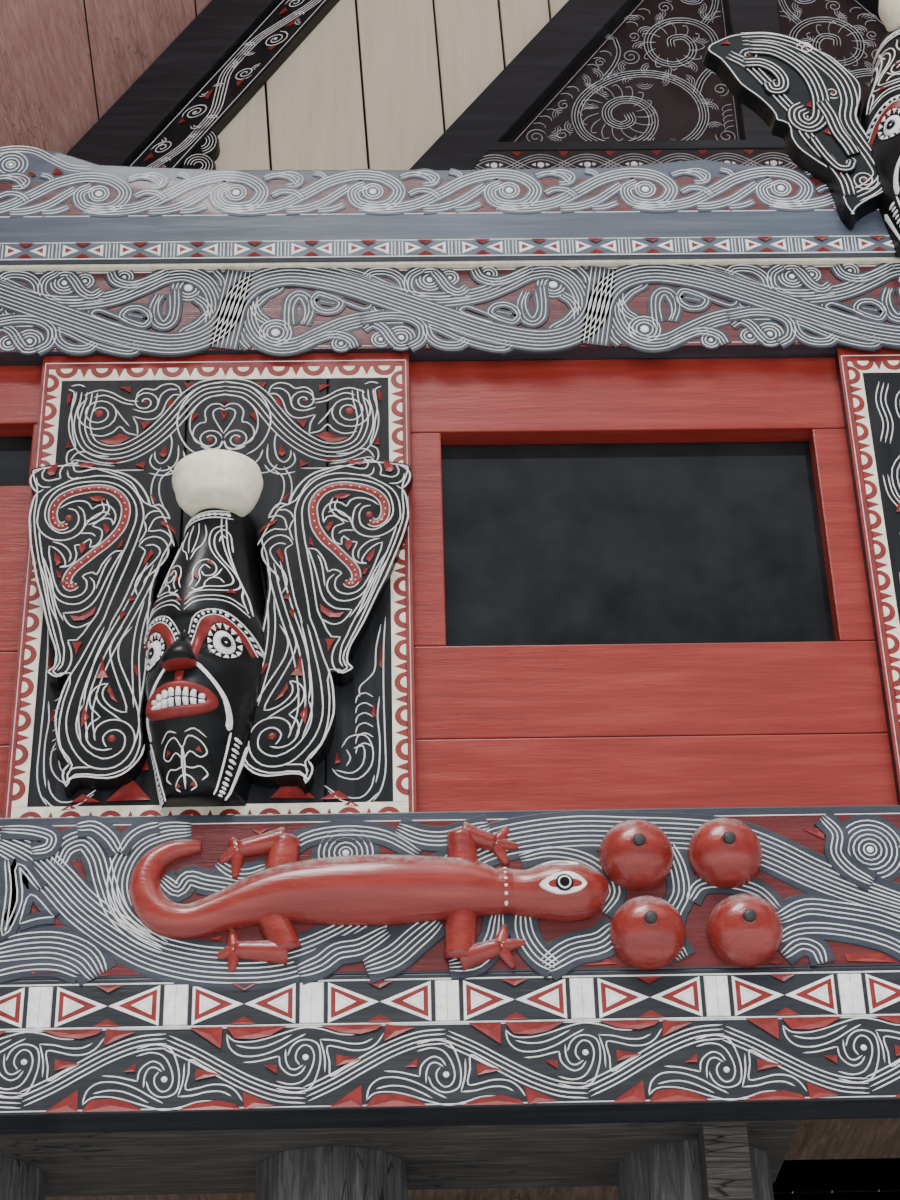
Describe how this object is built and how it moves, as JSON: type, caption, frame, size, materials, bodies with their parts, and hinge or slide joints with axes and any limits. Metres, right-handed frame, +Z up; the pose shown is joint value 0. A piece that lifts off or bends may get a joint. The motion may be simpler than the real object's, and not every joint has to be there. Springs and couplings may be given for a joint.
{
  "type": "batak toba house",
  "caption": "Log-post house with a low plank body, carved front boards, masks and lizards under a tall saddle roof.",
  "frame": {"origin": "on the ground under the middle of the house", "axes": "+Z up, the carved front faces -Y, +X to the right seen from the front"},
  "size_m": [7.5, 13.75, 10.49],
  "materials": {
    "hewn_wood": "weathered hewn logs",
    "black_paint": "satin black paint on boards",
    "red_paint": "satin red paint on boards",
    "cream_paint": "matt cream paint on boards",
    "carved": "carved board, painted black, white and red",
    "plank": "bare planks",
    "thatch": "dark palm-fibre thatch",
    "pane": "dark window glass",
    "lizard_red": "gloss red paint on a carving"
  },
  "bodies": {
    "root": {"front_posts_left": "hewn_wood", "front_posts_right": "hewn_wood", "post_row_2": "hewn_wood", "post_row_3": "hewn_wood", "post_row_4": "hewn_wood", "front_beam_left": "hewn_wood", "front_beam_right": "hewn_wood", "cross_beam_2": "hewn_wood", "cross_beam_3": "hewn_wood", "cross_beam_4": "hewn_wood", "floor": "plank", "balcony_floor": "plank", "back_balcony_floor": "plank", "front_scroll_board": "carved", "front_lizard_board": "carved", "back_sill_board": "carved", "left_sill_board": "carved", "right_sill_board": "carved", "mask_panel_left": "carved", "mask_panel_right": "carved", "centre_panel": "carved", "front_upper_beam": "carved", "back_upper_beam": "carved", "front_rail_board": "carved", "back_rail_board": "carved", "front_barge_board_left": "carved", "front_barge_board_right": "carved", "back_barge_board_left": "carved", "back_barge_board_right": "carved", "gable_triangle_board": "carved", "mask_left": "carved", "mask_right": "carved", "rail_mask": "carved", "front_wall": "red_paint", "back_wall": "red_paint", "left_wall": "red_paint", "right_wall": "red_paint", "front_glass": "pane", "back_glass": "pane", "left_glass": "pane", "right_glass": "pane", "left_plate": "black_paint", "right_plate": "black_paint", "gable_edge_left": "black_paint", "gable_edge_right": "black_paint", "gable_triangle_frame": "black_paint", "roof_left": "thatch", "roof_right": "thatch", "ridge_beam": "thatch", "front_gable_wall": "cream_paint", "back_gable_wall": "cream_paint", "lizard_left": "lizard_red", "lizard_right": "lizard_red", "breasts_left": "lizard_red", "breasts_right": "lizard_red"}
  },
  "joints": []
}
